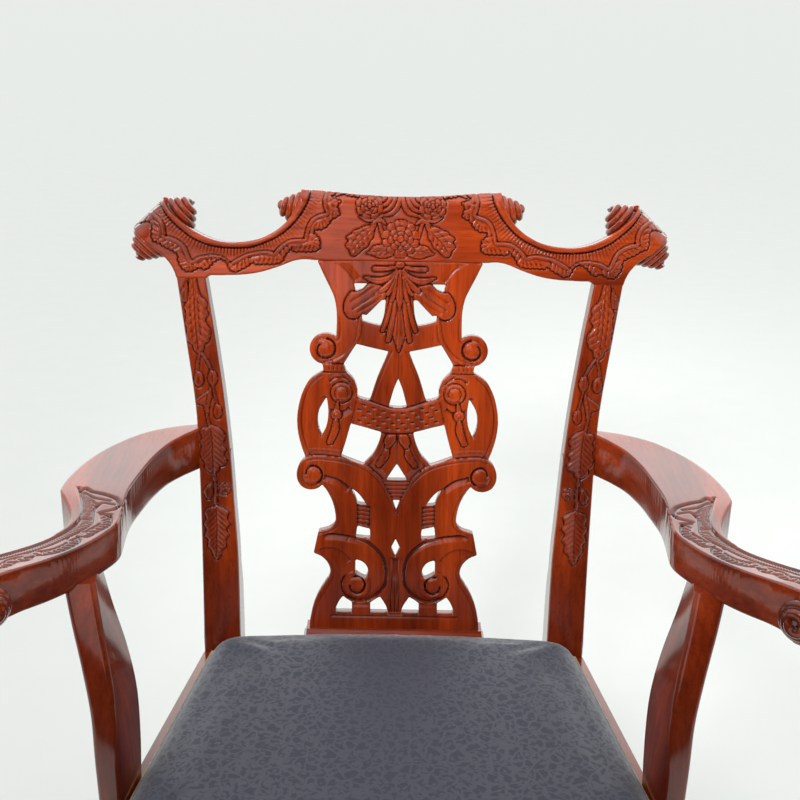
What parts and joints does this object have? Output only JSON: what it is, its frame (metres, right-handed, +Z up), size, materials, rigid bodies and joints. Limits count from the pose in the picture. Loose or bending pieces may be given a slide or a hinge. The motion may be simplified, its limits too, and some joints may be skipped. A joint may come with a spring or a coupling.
{
  "type": "armchair",
  "caption": "Carved mahogany armchair with a pierced splat, eared crest rail, scrolled serpentine arms and an upholstered drop-in seat.",
  "frame": {"origin": "centre of the bounding box's footprint, at floor level", "axes": "+Z up, the sitter faces -Y, +X to the right as seen from the front"},
  "size_m": [0.8244, 0.5804, 0.9962],
  "materials": {
    "carved_mahogany": "gloss lacquer over reddish-brown stain",
    "secondary_wood": "bare",
    "seat_fabric": "woven damask",
    "foam": "open cell",
    "webbing": "jute weave",
    "dust_cloth": "thin cambric",
    "screw_steel": "zinc plated"
  },
  "bodies": {
    "chair": {"arm_screw_plugs": "carved_mahogany", "arm_screws": "screw_steel", "arm_support_dowels": "carved_mahogany", "arm_support_screws": "screw_steel", "corner_block_screws": "screw_steel", "crest_rail": "carved_mahogany", "front_rail": "carved_mahogany", "left_arm": "carved_mahogany", "left_arm_inner_whorl": "carved_mahogany", "left_arm_outer_whorl": "carved_mahogany", "left_arm_support": "carved_mahogany", "left_back_post": "carved_mahogany", "left_crest_whorl": "carved_mahogany", "left_ear_lower_whorl": "carved_mahogany", "left_ear_upper_whorl": "carved_mahogany", "left_front_corner_block": "secondary_wood", "left_front_knee_bracket": "carved_mahogany", "left_front_leg": "carved_mahogany", "left_rear_corner_block": "secondary_wood", "left_side_knee_bracket": "carved_mahogany", "left_side_rail": "carved_mahogany", "rear_rail": "carved_mahogany", "rear_seat_cleat": "secondary_wood", "right_arm": "carved_mahogany", "right_arm_inner_whorl": "carved_mahogany", "right_arm_outer_whorl": "carved_mahogany", "right_arm_support": "carved_mahogany", "right_back_post": "carved_mahogany", "right_crest_whorl": "carved_mahogany", "right_ear_lower_whorl": "carved_mahogany", "right_ear_upper_whorl": "carved_mahogany", "right_front_corner_block": "secondary_wood", "right_front_knee_bracket": "carved_mahogany", "right_front_leg": "carved_mahogany", "right_rear_corner_block": "secondary_wood", "right_side_knee_bracket": "carved_mahogany", "right_side_rail": "carved_mahogany", "splat": "carved_mahogany", "splat_shoe": "carved_mahogany"},
    "drop_in_seat": {"left_seat_frame_side": "secondary_wood", "right_seat_frame_side": "secondary_wood", "seat_cover": "seat_fabric", "seat_dust_sheet": "dust_cloth", "seat_foam": "foam", "seat_frame_front": "secondary_wood", "seat_frame_rear": "secondary_wood", "seat_webbing": "webbing"}
  },
  "joints": [
    {"name": "seat_lift", "type": "slide", "parent": "chair", "child": "drop_in_seat", "axis": [0, 0, 1], "range_m": [0, 0.1]}
  ]
}
